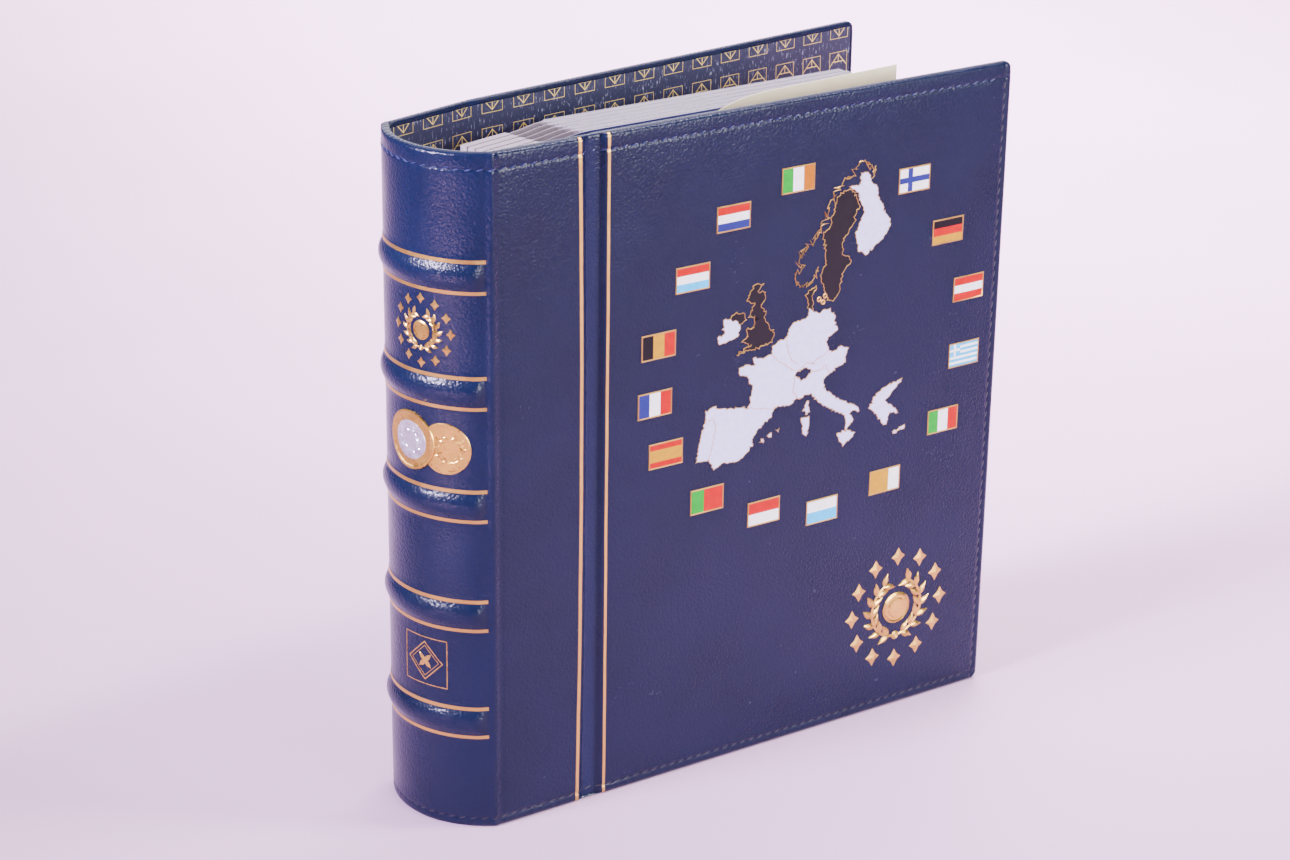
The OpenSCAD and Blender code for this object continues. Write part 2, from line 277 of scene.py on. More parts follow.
def row_quads(rows, n, closed=False):
    """Quads between rows of n points; closed joins each row's end to its start."""
    return [
        [r * n + k, r * n + (k + 1) % n, (r + 1) * n + (k + 1) % n, (r + 1) * n + k]
        for r in range(rows - 1)
        for k in range(n if closed else n - 1)
    ]


def slab_faces(n, m):
    """Faces of a closed slab: two grids of n by m points and the walls between their edges."""
    loop = [i * m for i in range(n)] + [(n - 1) * m + j for j in range(1, m)]
    loop += [i * m + m - 1 for i in range(n - 2, -1, -1)] + list(range(m - 2, 0, -1))
    walls = [(a, b, b + n * m, a + n * m) for a, b in zip(loop, loop[1:] + loop[:1])]
    return np.concatenate([grid_faces(n, m), grid_faces(n, m, n * m, flip=True), walls])


def spread(marks, step):
    """Values through every mark, filled in so that none are further apart than step."""
    out = [marks[0]]
    for a, b in zip(marks, marks[1:]):
        count = max(1, math.ceil((b - a) / step - 1e-6))
        out += [a + (b - a) * k / count for k in range(1, count + 1)]
    return np.array(out)


EDGE_STEPS = [0, 0.12, 0.35, 0.7, 1.15, 1.7]


def heights(step, fine=()):
    """Rows of a panel's mesh: close together at its edges, its stitching and the fine places."""
    marks = set(EDGE_STEPS) | {HEIGHT - e for e in EDGE_STEPS}
    for middle in (STITCH_BOTTOM, HEIGHT - STITCH_TOP):
        marks |= {middle + k * 0.4 for k in range(-4, 5)}
    for a, b, count in fine:
        marks |= {a + (b - a) * k / count for k in range(count + 1)}
    return spread(sorted(marks), step)


def rounded_corners(s, z):
    """Moves grid points by the fore-edge corners onto round corners."""
    s, z = s.copy(), z.copy()
    for top in (True, False):
        p = s - (COVER_W - CORNER_R)
        q = (z - (HEIGHT - CORNER_R)) if top else (CORNER_R - z)
        inside = (p > 0) & (q > 0)
        m = np.maximum(p, q)
        lean = np.where(p > q, q / np.maximum(p, 1e-9), 2 - p / np.maximum(q, 1e-9)) * math.pi / 4
        s = np.where(inside, COVER_W - CORNER_R + m * np.cos(lean), s)
        up = CORNER_R - m * np.sin(lean)
        z = np.where(inside, HEIGHT - up if top else up, z)
    return s, z


def shell_piece(name, panel, s_list, z_list, outer, inner, material, corners=True):
    """A closed piece of a panel: outer face, inner face, and walls where they meet the edges."""
    s, z = np.meshgrid(s_list, z_list, indexing="ij")
    flat_s, flat_z = rounded_corners(s, z) if corners and panel.fore_edge else (s, z)
    layers, uvs = [], []
    for depth in (outer(s, z), inner(s, z)):
        plan = panel.place(flat_s, depth)
        layers.append(np.concatenate([plan, flat_z[..., None]], -1).reshape(-1, 3))
        uvs.append(np.stack([panel.path(flat_s) / 100, flat_z / 100], -1).reshape(-1, 2))
    verts = to_row(np.concatenate(layers))
    return new_object(name, verts, slab_faces(*s.shape), [material], np.concatenate(uvs))


# ---------------------------------------------------------------- flat artwork laid on the skin
ART_DEPTH = 0.25        # how far a piece's underside lies below its top
ART_SUNK = 0.12         # and at least this far below the skin
CELL = 7.0              # widest cell of a filled outline, so that it follows the skin


class Artwork:
    """Thin closed pieces drawn in (s, z) and laid on a panel's skin, each in one material."""

    def __init__(self, panel):
        self.panel = panel
        self.verts, self.faces, self.mats, self.uvs = [], [], [], []

    def lay(self, points, faces, tops, index):
        """points in (s, z), tops their heights above the skin; adds the piece and its underside."""
        pts = np.array(points, float)
        tops = np.broadcast_to(np.array(tops, float), (len(pts),))
        base = sum(len(v) for v in self.verts)
        count = len(pts)
        s, z = pts[:, 0], pts[:, 1]
        skin = self.panel.depth(s, z)
        for lift in (tops, np.minimum(tops - ART_DEPTH, -ART_SUNK)):
            plan = self.panel.place(s, skin - lift)
            self.verts.append(np.concatenate([plan, z[:, None]], -1))
            self.uvs.append(np.stack([self.panel.path(s) / 100, z / 100], -1))
        rim = {}
        for f in faces:
            for a, b in zip(f, list(f[1:]) + [f[0]]):
                if (b, a) in rim:
                    del rim[(b, a)]
                else:
                    rim[(a, b)] = True
        made = [tuple(base + i for i in f) for f in faces]
        made += [tuple(base + count + i for i in reversed(f)) for f in faces]
        made += [(base + b, base + a, base + count + a, base + count + b) for a, b in rim]
        self.faces += made
        self.mats += [index] * len(made)

    def polygon(self, outline, index, top, holes=()):
        """A filled outline, cut into cells."""
        work = bmesh.new()
        edges = []
        for loop in (outline, *holes):
            made = [work.verts.new((x, y, 0)) for x, y in loop]
            edges += [work.edges.new(pair) for pair in zip(made, made[1:] + made[:1])]
        bmesh.ops.triangle_fill(work, use_beauty=True, use_dissolve=False, edges=edges)
        xs, ys = [p[0] for p in outline], [p[1] for p in outline]
        for axis, lo, hi in ((0, min(xs), max(xs)), (1, min(ys), max(ys))):
            normal = (1, 0, 0) if axis == 0 else (0, 1, 0)
            for k in range(math.floor(lo / CELL) + 1, math.ceil(hi / CELL)):
                at = [0, 0, 0]
                at[axis] = k * CELL
                everything = work.verts[:] + work.edges[:] + work.faces[:]
                bmesh.ops.bisect_plane(work, geom=everything, plane_co=at, plane_no=normal)
        work.verts.index_update()
        points = [(v.co.x, v.co.y) for v in work.verts]
        faces = []
        for f in work.faces:
            ids = [v.index for v in f.verts]
            faces.append(ids if f.normal.z > 0 else ids[::-1])
        work.free()
        if faces:
            self.lay(points, faces, top, index)

    def band(self, line, width, index, top, closed=False, round_top=False):
        """A line of constant width along points."""
        pts = np.array(line, float)
        n = len(pts)
        ahead = np.roll(pts, -1, 0) - pts
        behind = pts - np.roll(pts, 1, 0)
        if not closed:
            ahead[-1], behind[0] = behind[-1], ahead[0]
        ahead, behind = unit(ahead), unit(behind)
        side = left_of(unit(ahead + behind))
        stretch = 1 / np.clip(np.abs((side * left_of(ahead)).sum(1)), 0.6, 1)
        side *= stretch[:, None] * width / 2
        across = [(-1, 0.55), (0, 1.0), (1, 0.55)] if round_top else [(-1, 1.0), (1, 1.0)]
        points = np.concatenate([pts + side * k for k, _ in across])
        tops = np.concatenate([np.full(n, top * h) for _, h in across])
        self.lay(points, row_quads(len(across), n, closed), tops, index)

    def dome(self, line, half_widths, index, top, base=0.0):
        """A raised leaf-like shape along a line, highest in its middle."""
        pts = np.array(line, float)
        w = np.array(half_widths, float)
        side = left_of(unit(np.gradient(pts, axis=0)))
        rows = np.linspace(-1, 1, 5)
        points = np.concatenate([pts + side * (w * r)[:, None] for r in rows])
        fullness = (w / max(w)) ** 0.5
        tops = np.concatenate([base + top * (1 - r * r) * fullness + 0.04 for r in rows])
        self.lay(points, row_quads(len(rows), len(pts)), tops, index)

    def turned(self, centre, profile, radius, top, index, sides=64):
        """A round piece from (radius, height) pairs, given as shares of its radius and its top."""
        angles = np.linspace(0, 2 * math.pi, sides, endpoint=False)
        points, tops, faces = [], [], []
        rows = profile
        if profile[0][0] == 0:
            points, tops, rows = [centre], [top * profile[0][1]], profile[1:]
            faces = [[0, 1 + k, 1 + (k + 1) % sides] for k in range(sides)]
        base = len(points)
        for r, h in rows:
            points += [around(centre, radius * r, a) for a in angles]
            tops += [top * h] * sides
        for r in range(len(rows) - 1):
            a, b = base + r * sides, base + (r + 1) * sides
            for k in range(sides):
                k2 = (k + 1) % sides
                faces.append([a + k, b + k, b + k2, a + k2])
        self.lay(points, faces, tops, index)

    def ring(self, centre, r0, r1, index, top, sides):
        profile = [(r0 / r1, 0.4), ((r0 + r1) / (2 * r1), 1.0), (1, 0.4)]
        self.turned(centre, profile, r1, top, index, sides)

    def build(self, name, materials, smooth_angle=40):
        verts, uvs = to_row(np.concatenate(self.verts)), np.concatenate(self.uvs)
        return new_object(name, verts, self.faces, materials, uvs, self.mats, smooth_angle)


# ---------------------------------------------------------------- looks
def linear(r, g, b):
    """A display colour in 0-255 to a shader colour."""
    return tuple(((c / 255 + 0.055) / 1.055) ** 2.4 if c > 10 else c / 3294.6 for c in (r, g, b))


class Look:
    """A node material: one Principled shader, and short names for the nodes that feed it."""

    def __init__(self, name, colour, roughness, **sockets):
        self.material = bpy.data.materials.new(name)
        self.material.use_nodes = True
        self.tree = self.material.node_tree
        self.shader = self.tree.nodes["Principled BSDF"]
        self.colour = (*colour, 1)
        self.shader.inputs["Base Color"].default_value = self.colour
        self.shader.inputs["Roughness"].default_value = roughness
        for key, value in sockets.items():
            self.shader.inputs[key.replace("_", " ")].default_value = value

    def node(self, kind, inputs=(), **settings):
        made = self.tree.nodes.new(kind)
        for key, value in settings.items():
            setattr(made, key, value)
        for key, value in dict(inputs).items():
            if isinstance(value, bpy.types.NodeSocket):
                self.tree.links.new(value, made.inputs[key])
            else:
                made.inputs[key].default_value = value
        return made

    def feed(self, socket, value):
        self.tree.links.new(value, self.shader.inputs[socket])

    def scaled(self, at, factor, stretch):
        inputs = {0: at, 1: [factor * k for k in stretch]}
        return self.node("ShaderNodeVectorMath", inputs, operation="MULTIPLY").outputs[0]

    def on_pattern(self, stretch=(1, 1, 1)):
        """Millimetres along and up the skin, from the piece's own UV map."""
        return self.scaled(self.node("ShaderNodeUVMap", uv_map="Pattern").outputs[0], 100, stretch)

    def on_object(self, stretch=(1, 1, 1)):
        """Millimetres in the piece's own frame."""
        return self.scaled(self.node("ShaderNodeTexCoord").outputs["Object"], 1000, stretch)

    def noise(self, at, size, detail, rough=0.5):
        """Noise from 0 to 1 with features about size millimetres wide."""
        inputs = {"Vector": at, "Scale": 1 / size, "Detail": detail, "Roughness": rough}
        return self.node("ShaderNodeTexNoise", inputs).outputs[0]

    def cells(self, at, size):
        inputs = {"Vector": at, "Scale": 1 / size, "Smoothness": 0.6}
        return self.node("ShaderNodeTexVoronoi", inputs, feature="SMOOTH_F1").outputs["Distance"]

    def math(self, operation, a, b=0.0, c=0.0):
        return self.node("ShaderNodeMath", {0: a, 1: b, 2: c}, operation=operation).outputs[0]

    def times(self, a, b):
        return self.math("MULTIPLY", a, b)

    def apart(self, a, b):
        """The distance between two values."""
        return self.math("ABSOLUTE", self.math("SUBTRACT", a, b))

    def less(self, a, b):
        return self.math("LESS_THAN", a, b)

    def span(self, value, lo, hi, out_lo=0.0, out_hi=1.0):
        inputs = {0: value, 1: lo, 2: hi, 3: out_lo, 4: out_hi}
        return self.node("ShaderNodeMapRange", inputs, interpolation_type="SMOOTHSTEP").outputs[0]

    def mix(self, share, a, b):
        return self.node("ShaderNodeMix", {0: share, 6: a, 7: b}, data_type="RGBA").outputs[2]

    def bump(self, height, depth_mm, strength):
        inputs = {"Height": height, "Distance": depth_mm / 1000, "Strength": strength}
        normal = self.node("ShaderNodeBump", inputs).outputs[0]
        self.feed("Normal", normal)
        self.feed("Coat Normal", normal)


def tint(colour, factor):
    return (*[min(1.0, c * factor) for c in colour[:3]], 1)


def leatherette(name, colour, roughness):
    """Navy plastic-coated skin: fine pebble grain, cloudy colour, rubbed high spots and scuffs, and a
    highlight painted lighter along the pressed grooves.
    """
    look = Look(name, colour, roughness, Specular_IOR_Level=0.21)
    at = look.on_pattern()
    cloud = look.noise(at, 42, 3)
    grain = look.cells(at, 1.05)
    fine = look.noise(at, 0.6, 2)
    patches = look.noise(at, 26, 2, 0.55)
    specks = look.noise(at, 1.9, 4, 0.7)
    scuff = look.times(look.span(patches, 0.6, 0.76), look.span(specks, 0.56, 0.72))
    shade = look.mix(look.span(cloud, 0.3, 0.7), tint(colour, 0.86), tint(colour, 1.16))
    pits = look.mix(look.span(grain, 0.25, 0.6), tint(colour, 1.1), tint(colour, 0.8))
    body = look.mix(0.35, shade, pits)
    worn = look.mix(look.times(scuff, 0.3), body, tint(colour, 2.2))
    # The pressed grooves are polished, with lower roughness, and their middles are painted lighter as a
    # highlight: they lie alike on either side of the spine's middle
    q = look.node("ShaderNodeSeparateXYZ", {0: at}).outputs[0]
    from_fold = look.apart(look.apart(q, SPINE_LEN / 2), SPINE_LEN / 2 + FOLD_S)
    polish_and_highlight = look.span(from_fold, 1.0, 4.2, 1.0, 0.0)
    look.feed("Base Color", look.mix(look.times(polish_and_highlight, 0.5), worn, tint(colour, 2.0)))
    sheen = look.math("MULTIPLY_ADD", look.noise(at, 9, 3), 0.1, roughness - 0.05)
    rough = look.math("MULTIPLY_ADD", scuff, 0.15, sheen)
    look.feed("Roughness", look.math("MULTIPLY_ADD", polish_and_highlight, -0.07, rough))
    height = look.math("MULTIPLY_ADD", fine, 0.35, look.times(grain, -1.0))
    look.bump(height, 0.16, 0.9)
    return look.material


def foil(name, colour, roughness, worn_colour):
    """Hot-stamped or cast metal, with a slight hammer texture and small rubbed spots."""
    look = Look(name, colour, roughness, Metallic=1.0)
    at = look.on_pattern()
    rub = look.noise(at, 1.6, 4, 0.7)
    share = look.span(rub, 0.6, 0.78)
    look.feed("Base Color", look.mix(share, look.colour, (*worn_colour, 1)))
    look.feed("Roughness", look.span(look.noise(at, 3.5, 3), 0.3, 0.7, roughness - 0.07, roughness + 0.12))
    look.bump(look.noise(at, 0.5, 3), 0.008, 0.5)
    return look.material


def enamel(name, colour):
    """Glossy fill, with the faint clouds and orange peel of poured enamel."""
    look = Look(name, colour, 0.3, Specular_IOR_Level=0.16)
    at = look.on_pattern()
    cloud = look.span(look.noise(at, 2.6, 3), 0.3, 0.7)
    look.feed("Base Color", look.mix(cloud, tint(colour, 0.9), tint(colour, 1.06)))
    look.bump(look.noise(at, 1.3, 2), 0.03, 0.5)
    return look.material


def thread(name, colour):
    look = Look(name, colour, 0.36)
    at = look.on_pattern((1.0, 0.35, 1.0))
    twist = look.noise(at, 0.3, 2)
    look.feed("Base Color", look.mix(twist, tint(colour, 0.6), tint(colour, 1.5)))
    look.bump(twist, 0.08, 0.8)
    return look.material


def lining_paper(name, colour, gold):
    """Printed lining: rows of thin gold squares with chevrons, on dark paper with embossed streaks, some
    of them painted pale as glinting highlights.
    """
    look = Look(name, colour, 0.42, Specular_IOR_Level=0.4)
    at = look.on_pattern()
    parts = look.node("ShaderNodeSeparateXYZ", {0: at}).outputs
    pitch_s, pitch_z, half, line = 15.5, 16.1, 5.0, 0.11
    column = look.math("MULTIPLY_ADD", parts[0], 1 / pitch_s, LINING_PHASE)
    row = look.math("MULTIPLY_ADD", parts[1], 1 / pitch_z, 0.5 - TOP_ROW / pitch_z)
    cu = look.math("MULTIPLY_ADD", look.math("FRACT", column), pitch_s, -pitch_s / 2)
    cz = look.math("MULTIPLY_ADD", look.math("FRACT", row), pitch_z, -pitch_z / 2)
    au, az = look.math("ABSOLUTE", cu), look.math("ABSOLUTE", cz)
    reach = look.math("MAXIMUM", au, az)
    border = look.less(look.apart(reach, half), line)
    # Every other row of chevrons points up
    odd = look.math("FLOORED_MODULO", look.math("FLOOR", row), 2.0)
    v = look.times(cz, look.math("MULTIPLY_ADD", odd, -2.0, 1.0))
    chevron = look.less(look.apart(look.times(au, 1.05), look.math("ADD", v, 4.1)), 0.25)
    chevron = look.times(chevron, look.less(v, 1.1))
    stroke = look.times(look.less(au, 0.17), look.less(look.apart(v, -2.4), 1.6))
    bar = look.times(look.less(look.apart(v, -0.85), 0.2), look.less(au, 3.3))
    marks = look.math("MAXIMUM", look.math("MAXIMUM", chevron, stroke), bar)
    marks = look.math("MAXIMUM", border, look.times(marks, look.less(reach, half)))
    ink = look.times(marks, look.span(look.noise(at, 1.2, 3, 0.7), 0.28, 0.5, 0.35, 1.0))
    streaks = look.noise(look.on_pattern((1.0, 0.22, 1.0)), 0.8, 4, 0.7)
    cloud = look.noise(at, 14, 3)
    # Painted highlight: pale lavender streaks mixed into the paper's colour stand in for glinting light
    # off the embossed paper
    painted_glints = look.times(look.span(streaks, 0.56, 0.68), look.span(cloud, 0.35, 0.65, 0.2, 0.8))
    paper = look.mix(painted_glints, look.colour, (0.45, 0.45, 0.62, 1))
    look.feed("Base Color", look.mix(ink, paper, (*gold, 1)))
    look.feed("Metallic", look.times(ink, 0.6))
    look.bump(look.math("ADD", streaks, look.times(ink, 0.8)), 0.08, 0.7)
    return look.material


def plain(name, colour, roughness, grain_mm, depth_mm, spread_by, uv=True, **sockets):
    """Board, foam, plastic or paper: cloudy colour and a small grain."""
    look = Look(name, colour, roughness, **sockets)
    at = look.on_pattern() if uv else look.on_object()
    cloud = look.span(look.noise(at, grain_mm * 12, 4, 0.6), 0.25, 0.75)
    look.feed("Base Color", look.mix(cloud, tint(colour, 1 - spread_by), tint(colour, 1 + spread_by / 2)))
    blots = look.noise(at, grain_mm * 4, 3)
    look.feed("Roughness", look.span(blots, 0.3, 0.7, roughness - 0.06, roughness + 0.06))
    look.bump(look.noise(at, grain_mm, 3), depth_mm, 0.8)
    return look.material


def chrome(name, colour, roughness):
    """Plated steel with fine drawing marks along its length."""
    look = Look(name, colour, roughness, Metallic=1.0)
    scratches = look.noise(look.on_object((1.0, 1.0, 0.03)), 0.25, 3, 0.6)
    stains = look.noise(look.on_object(), 11, 3)
    look.feed("Roughness", look.span(stains, 0.3, 0.75, roughness - 0.05, roughness + 0.12))
    look.feed("Base Color", look.mix(look.span(stains, 0.4, 0.8), look.colour, tint(colour, 0.86)))
    look.bump(scratches, 0.012, 0.5)
    return look.material


LINING_PHASE = 0.637    # share of a column by which the print is shifted
TOP_ROW = 278.8         # height of the middle of the print's top row
NAVY = linear(9, 18, 43)
GOLD = linear(200, 158, 80)
navy_skin = leatherette("navy_leatherette", NAVY, 0.25)
# Two copies of one thread: the first painted lighter as a highlight for the top row, the second painted
# darker as shade for the bottom and fore-edge rows
navy_thread = thread("navy_thread", linear(26, 30, 74))
worn_thread = thread("worn_thread", linear(5, 7, 22))
gold_foil = foil("gold_foil", GOLD, 0.36, linear(120, 88, 44))
cast_gold = foil("cast_gold", linear(212, 170, 80), 0.27, linear(140, 106, 50))
silver = foil("coin_silver", linear(225, 225, 238), 0.3, linear(170, 172, 190))
lining_look = lining_paper("printed_lining", linear(30, 33, 58), linear(250, 222, 118))
board_look = plain("grey_board", linear(150, 142, 128), 0.9, 0.9, 0.08, 0.25, uv=False)
foam_look = plain("foam_padding", linear(225, 222, 210), 0.95, 0.7, 0.15, 0.1, uv=False)
page_look = plain("leaf_plastic", linear(134, 124, 131), 0.42, 0.7, 0.02, 0.07)
binding_look = plain("binding_plastic", linear(148, 136, 142), 0.45, 0.7, 0.02, 0.07, uv=False)
card_look = plain("navy_card", linear(30, 38, 92), 0.6, 0.5, 0.03, 0.2)
paper_look = plain("cream_paper", linear(255, 244, 200), 0.8, 0.5, 0.03, 0.05)
film_look = plain("clear_film", linear(235, 240, 248), 0.16, 3.0, 0.01, 0.03, uv=False, Alpha=0.22)
steel_look = chrome("plated_steel", linear(208, 210, 214), 0.2)

# ---------------------------------------------------------------- panels
JOIN_S = STRIP_W / 2    # where a strip's two skin pieces meet
MID_W = SPINE_LEN / 2


class Panel:
    """One part of the skin: how it lies and how far it stands out; it also keeps two body names and fold
    marks, which do not bend it.
    """

    def __init__(self, name, place, rise, path, ends, bodies=None, fold=None):
        self.name, self.place, self.rise, self.path = name, place, rise, path
        self.ends, self.bodies, self.fold = ends, bodies, fold
        self.fore_edge = ends[1] == COVER_W

    def edge(self, s, z):
        edge = np.minimum(z, HEIGHT - z)
        return np.minimum(edge, COVER_W - s) if self.fore_edge else edge

    def depth(self, s, z):
        """Depth of the outer face below the panel's plane."""
        edge = self.edge(s, z)
        rise = self.rise(s, z, self.path(s)) * smooth(edge / 0.8)
        return edge_drop(edge, OUTER_R) - rise

    def inner_depth(self, s, z):
        return SHELL - edge_drop(self.edge(s, z), INNER_R)

    def bend(self, obj):
        level = FOLD_D if self.fore_edge else 0.0
        start, end = [
            to_row([(*self.place(np.array(s), np.array(level)), HEIGHT / 2)])[0] for s in self.fold
        ]
        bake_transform(obj)


COVER_ENDS, COVER_FOLD = (JOIN_S, COVER_W), (STRIP_W, COVER_S)
CREASE_ENDS = (-MID_W, JOIN_S)
front_cover = Panel(
    "front_cover", front_place, cover_rise, lambda s: -s, COVER_ENDS,
    ("front_strip", "front_cover"), COVER_FOLD,
)
back_cover = Panel(
    "back_cover", back_place, cover_rise, lambda s: SPINE_LEN + s, COVER_ENDS,
    ("back_strip", "back_cover"), COVER_FOLD,
)
front_spine = Panel(
    "front_spine", front_crease_place, crease_rise, lambda c: -c, CREASE_ENDS,
    ("spine", "front_strip"), (-BEND_ROOM, BEND_ROOM),
)
back_spine = Panel(
    "back_spine", back_crease_place, crease_rise, lambda c: SPINE_LEN + c, CREASE_ENDS,
    ("back_strip", "spine"), (BEND_ROOM, -BEND_ROOM),
)
# The round spine as one piece, for what is fixed to its middle
spine_face = Panel(
    "spine_face", spine_place, lambda w, z, q: crease_rise(-np.minimum(w, SPINE_LEN - w), z, q),
    lambda w: w, (0, SPINE_LEN),
)
PANELS = (front_cover, front_spine, back_spine, back_cover)

GROOVE_MARKS = [STRIP_W + 0.3 + k * 0.45 for k in range(30)]
FORE_MARKS = [COVER_W - e for e in EDGE_STEPS] + [COVER_W - STITCH_FORE + k * 0.4 for k in range(-4, 5)]
COVER_LIST = spread(sorted({JOIN_S, *GROOVE_MARKS, *FORE_MARKS}), 3.6)
CREASE_MARKS = [k * 0.5 for k in range(-10, 11)]
CREASE_LIST = spread(sorted({-MID_W, *CREASE_MARKS, JOIN_S}), 1.9)
BAND_FINE = [(m - BAND_HALF - 2, m + BAND_HALF + 2, 26) for m in BAND_ZS]

for panel in PANELS:
    marks = COVER_LIST if panel.fore_edge else CREASE_LIST
    rows = heights(3.4) if panel.fore_edge else heights(2.6, BAND_FINE)
    skin = shell_piece(
        panel.name + "_skin", panel, marks, rows, panel.depth, panel.inner_depth, navy_skin
    )
    panel.bend(skin)
    panel.skin = skin
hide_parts("front_cover_leather")
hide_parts("back_cover_leather")
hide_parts("front_strip_leather", "spine_leather", "raised_bands")
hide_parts("back_strip_leather")

# ---------------------------------------------------------------- lining
TURN_IN = 2.2
LINING_T = 0.16
lining_zs = spread([TURN_IN, HEIGHT - TURN_IN], 12)
for panel in PANELS:
    s0, s1 = panel.ends
    if panel.fore_edge:
        marks = spread(sorted({s0, STRIP_W, *GROOVE_MARKS[::3], s1 - TURN_IN}), 12)
    else:
        marks = spread(sorted({s0, *CREASE_MARKS, s1}), 2)
    lining = shell_piece(
        panel.name + "_lining", panel, marks, lining_zs, lambda s, z: 0 * s + SHELL - 0.1,
        lambda s, z: 0 * s + SHELL + LINING_T, lining_look, corners=False,
    )
    panel.bend(lining)
    panel.lining = lining
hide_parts("front_cover_lining")
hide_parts("back_cover_lining")
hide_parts("front_strip_lining", "spine_lining")
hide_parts("back_strip_lining")

# ---------------------------------------------------------------- stitching and gold lines
STITCH_HALF, STITCH_LEAN = 1.35, 0.38
# Thread tones: lit for the top row's painted highlight, shaded for the other rows' painted shade
LIT_THREAD, FOIL, SHADED_THREAD = 0, 1, 2
THREAD_TOP = {LIT_THREAD: 0.5, SHADED_THREAD: 0.08}
FOIL_TOP = 0.07


def stitch(art, s, z, tone, upright=False):
    """One slanting stitch; the threads along the top edge stand proud in thread painted lighter as a
    highlight, and the others lie flush in thread painted darker as shade.
    """
    along = np.linspace(-STITCH_HALF, STITCH_HALF, 5)
    across = np.linspace(-STITCH_LEAN, STITCH_LEAN, 5)
    line = [(s + b, z + a) if upright else (s + a, z + b) for a, b in zip(along, across)]
    art.dome(line, [0.1, 0.32, 0.4, 0.32, 0.1], tone, THREAD_TOP[tone])


for panel in PANELS:
    art = Artwork(panel)
    s0, s1 = panel.ends
    if panel.fore_edge:
        s1 -= 9
    first = math.ceil(min(panel.path(s0), panel.path(s1)) / STITCH_PITCH)
    last = math.floor(max(panel.path(s0), panel.path(s1)) / STITCH_PITCH - 1e-6)
    sign = panel.path(1.0) - panel.path(0.0)
    for k in range(first, last + 1):
        s = (k * STITCH_PITCH - panel.path(0.0)) / sign
        stitch(art, s, STITCH_BOTTOM, SHADED_THREAD)
        stitch(art, s, HEIGHT - STITCH_TOP, LIT_THREAD)
    if panel.fore_edge:
        rows = int((HEIGHT - 16) / STITCH_PITCH)
        for k in range(rows + 1):
            z = 8 + k * (HEIGHT - 18) / rows
            stitch(art, COVER_W - STITCH_FORE, z, SHADED_THREAD, upright=True)
        rows = [z for z in heights(4.0) if 0.1 < z < HEIGHT - 0.1]
        art.band([(STRIP_W + strip_bow(z), z) for z in rows], 1.45, FOIL, FOIL_TOP)
        art.band([(COVER_S, z) for z in rows], 1.25, FOIL, FOIL_TOP)
    else:
        for middle in BAND_ZS:
            for z, width in ((middle + BAND_HALF, 1.5), (middle - BAND_HALF, 1.4)):
                line = [(c, z) for c in np.linspace(-2.5, -MID_W, 20)]
                art.band(line, width, FOIL, FOIL_TOP)
    trim = art.build(panel.name + "_trim", [navy_thread, gold_foil, worn_thread])
    panel.bend(trim)

# ---------------------------------------------------------------- map in enamel
WHITE, BLACK, GOLD_LINE = 0, 1, 2
ENAMEL_TOP = 0.16
FINLAND = [
    (174, 245), (176, 244), (177, 241), (180, 238), (182, 232), (185, 227), (188, 223), (188, 220),
    (184, 215), (176, 210), (172, 212), (171, 216), (170, 220), (172, 223), (174, 229), (171, 237),
    (166, 240), (172, 240), (172, 244),
]
SWEDEN = [
    (166, 239), (169, 237), (172, 231), (169, 227), (170, 225), (164, 219), (164, 212), (167, 211),
    (168, 208), (164, 204), (163, 196), (160, 193), (157, 194), (155, 200), (153, 205), (156, 211),
    (154, 223), (157, 224), (158, 229), (161, 237),
]
NORWAY = [
    (178, 242), (179, 246), (176, 249), (172, 249), (169, 247), (166, 244), (161, 241), (159, 237),
    (156, 232), (154, 226), (150, 221), (145, 218), (142, 215), (142, 213), (144, 209), (141, 207),
    (142, 204), (144, 202), (147, 202), (151, 206), (152, 209),
]
DENMARK = [
    (151, 201), (149, 200), (146, 198), (147, 195), (148, 192), (150, 191), (150, 194), (149, 197),
    (151, 199),
]
MAINLAND = [
    (148, 192), (148, 189), (145, 188), (140, 187), (138, 185), (137, 182), (132, 180), (130, 179),
    (130, 176), (126, 175), (121, 176), (122, 173), (117, 174), (114, 173), (114, 171), (119, 168),
    (121, 163), (119, 155), (110, 157), (101, 159), (98, 158), (98, 154), (96, 148), (94, 137),
    (100, 137), (103, 132), (107, 134), (114, 133), (119, 136), (122, 139), (121, 141), (124, 145),
    (131, 149), (132, 152), (134, 153), (140, 152), (144, 154), (148, 155), (151, 155), (154, 151),
    (159, 147), (163, 145), (168, 142), (169, 139), (169, 135), (173, 139), (171, 142), (172, 143),
    (176, 142), (175, 144), (168, 148), (164, 150), (161, 153), (157, 156), (157, 160), (160, 162),
    (164, 164), (167, 165), (169, 171), (164, 173), (162, 171), (159, 172), (157, 176), (159, 178),
    (163, 180), (161, 184), (161, 187), (158, 190), (155, 190), (153, 189),
]
ALPS = [(142, 164), (143, 166), (148, 167), (150, 165), (148, 162), (145, 162)]
BRITAIN = [
    (121, 207), (125, 207), (122, 204), (126, 203), (126, 200), (124, 198), (126, 195), (126, 192),
    (129, 187), (131, 185), (130, 181), (124, 180), (119, 180), (113, 179), (116, 181), (120, 182),
    (115, 184), (118, 186), (117, 189), (121, 189), (121, 194), (118, 194), (121, 199), (117, 201),
    (119, 205),
]
IRELAND = [
    (106, 195), (109, 195), (114, 192), (114, 190), (113, 187), (109, 186), (104, 185), (103, 188),
    (107, 189), (106, 191),
]
ULSTER = [(109, 195), (112, 197), (116, 196), (117, 193), (114, 192)]
GREECE = [
    (198, 152), (195, 149), (191, 145), (189, 144), (197, 137), (192, 138), (190, 133), (186, 136),
    (185, 139), (181, 142), (183, 146), (187, 149), (193, 151),
]
